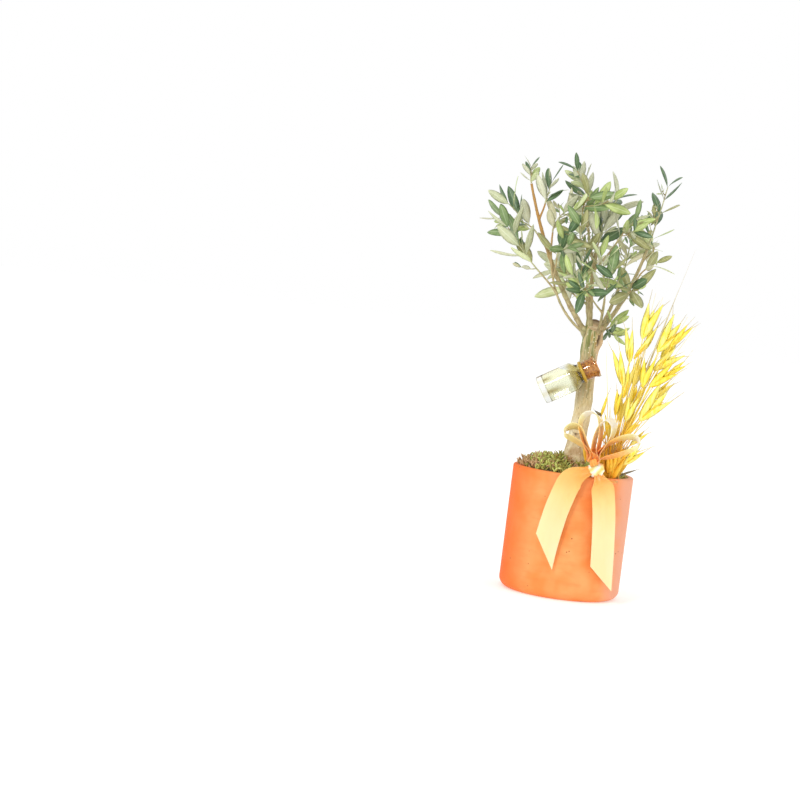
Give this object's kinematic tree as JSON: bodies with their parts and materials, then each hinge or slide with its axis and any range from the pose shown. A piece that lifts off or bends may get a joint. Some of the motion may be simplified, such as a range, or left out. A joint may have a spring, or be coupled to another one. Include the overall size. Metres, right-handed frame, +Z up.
{
  "type": "potted olive tree",
  "caption": "Young olive tree in a plain cylinder pot, dressed as a gift with a corked bottle of oil on its trunk, a satin bow and a bunch of dried oats.",
  "frame": {"origin": "centre of the pot's flat underside", "axes": "+Z up through the pot, the bow on the front towards -Y, +X to the right seen from the front"},
  "size_m": [0.2098, 0.157, 0.4068],
  "materials": {
    "clay": "matte painted terracotta",
    "soil": "rough",
    "moss": "rough",
    "bark": "rough",
    "foliage": "leathery",
    "glass": "clear",
    "oil": "clear liquid",
    "cork": "matte",
    "collar": "glossy",
    "satin": "satin",
    "oats": "dry"
  },
  "bodies": {
    "root": {"pot": "clay", "soil": "soil", "moss": "moss", "trunk": "bark", "bough_left": "bark", "bough_outer": "bark", "bough_centre": "bark", "bough_right": "bark", "bough_back": "bark", "bough_back_right": "bark", "bough_front": "bark", "branch_top": "bark", "branch_centre": "bark", "twig_far_left": "bark", "twig_left": "bark", "twig_upper_left": "bark", "twig_mid_left": "bark", "twig_low_left": "bark", "twig_upper": "bark", "twig_right": "bark", "twig_right_low": "bark", "twig_right_lower": "bark", "twig_front_left": "bark", "twig_centre_low": "bark", "twig_centre_mid": "bark", "twig_back_low": "bark", "foliage_far_left": "foliage", "foliage_left": "foliage", "foliage_top_left": "foliage", "foliage_upper_left": "foliage", "foliage_inner_left": "foliage", "foliage_mid_left": "foliage", "foliage_low_left": "foliage", "foliage_top": "foliage", "foliage_upper": "foliage", "foliage_crown": "foliage", "foliage_centre": "foliage", "foliage_right_top": "foliage", "foliage_right": "foliage", "foliage_right_low": "foliage", "foliage_right_lower": "foliage", "foliage_stub": "foliage", "foliage_front": "foliage", "foliage_front_left": "foliage", "foliage_centre_low": "foliage", "foliage_centre_mid": "foliage", "foliage_back_left": "foliage", "foliage_back_right": "foliage", "foliage_back_low": "foliage", "bottle_glass": "glass", "bottle_oil": "oil", "bottle_collar": "collar", "bottle_cork": "cork", "bow": "satin", "bow_tail_left": "satin", "bow_tail_right": "satin", "dried_oats": "oats"}
  },
  "joints": []
}
